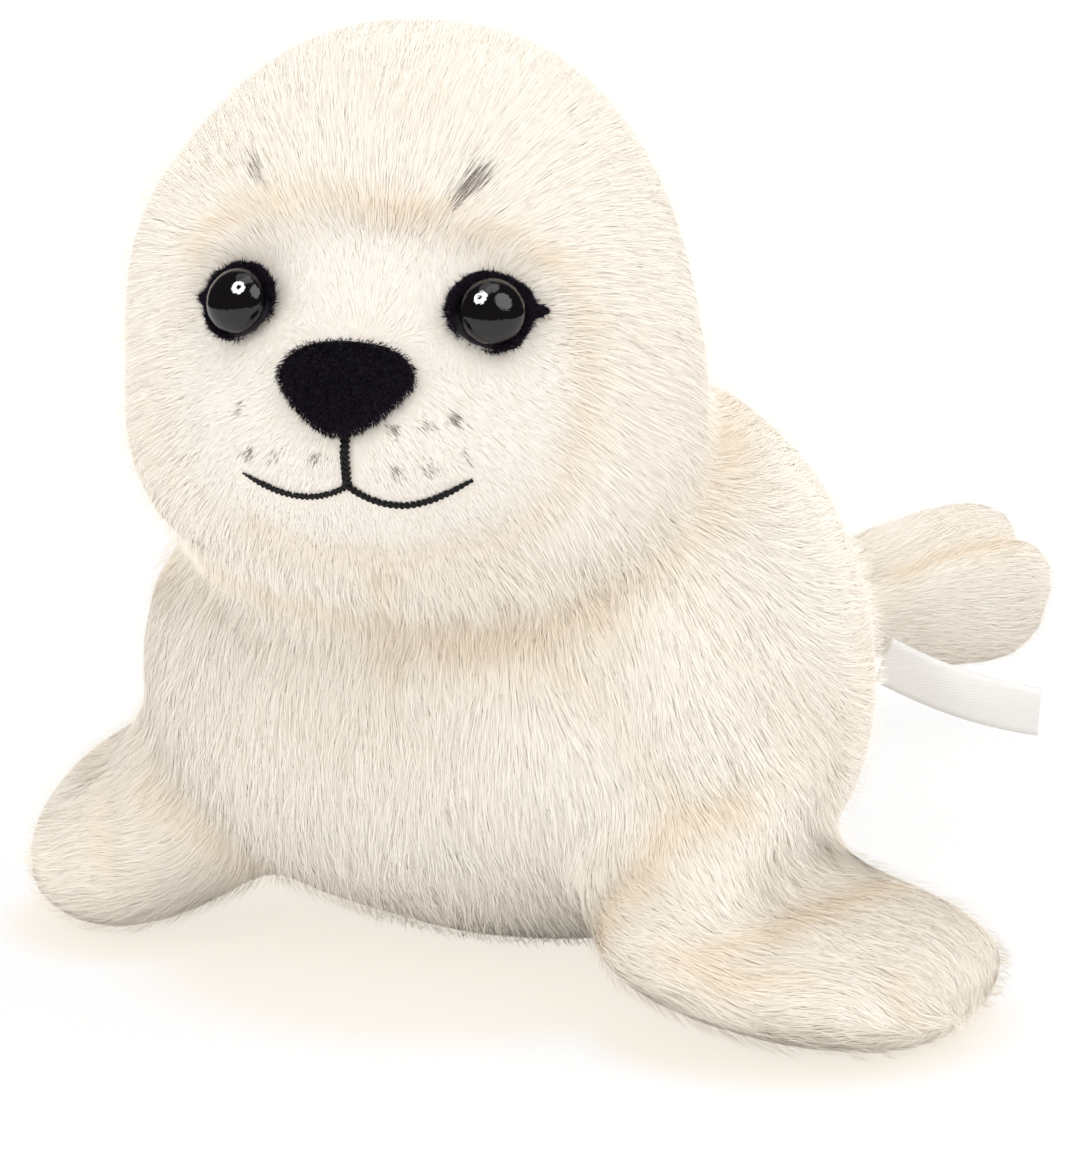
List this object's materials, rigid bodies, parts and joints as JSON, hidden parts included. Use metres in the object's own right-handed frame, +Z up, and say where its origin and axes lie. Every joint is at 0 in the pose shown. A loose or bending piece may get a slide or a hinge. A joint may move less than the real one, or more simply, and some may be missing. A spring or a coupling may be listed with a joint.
{
  "type": "plush seal",
  "caption": "Stuffed seal pup toy in long cream pile, lying on its belly and front flippers with its head raised, with button eyes, felt nose and stitched mouth",
  "frame": {"origin": "On the floor that the seal rests on, on the plane through the middle of its torso. The torso's chest is 66 mm in front of it and its tail 164 mm behind it.", "axes": "+Z is up. The seal's torso points along -Y, with its head turned 14 degrees to its own left, which is +X. The length from nose to hind flippers lies along Y, and the front flippers reach out along X."},
  "size_m": [0.2177, 0.322, 0.1919],
  "materials": {
    "long_pile": "long soft cream pile",
    "short_pile": "short dense cream pile",
    "black_felt": "matt black felt",
    "black_pile": "short black pile",
    "eye_plastic": "polished black",
    "washer_plastic": "natural white",
    "thread": "black embroidery thread",
    "ribbon": "white satin ribbon"
  },
  "bodies": {
    "root": {"head": "long_pile", "torso": "long_pile", "front_flipper_left": "long_pile", "front_flipper_right": "long_pile", "hind_flipper_left": "long_pile", "hind_flipper_right": "long_pile", "face_panel": "short_pile", "nose": "black_felt", "eye_left": "eye_plastic", "eye_right": "eye_plastic", "eye_patch_left": "black_pile", "eye_patch_right": "black_pile", "eye_washer_left": "washer_plastic", "eye_washer_right": "washer_plastic", "mouth_seam": "thread", "mouth_lip_left": "thread", "mouth_lip_right": "thread", "care_label": "ribbon"}
  },
  "joints": []
}
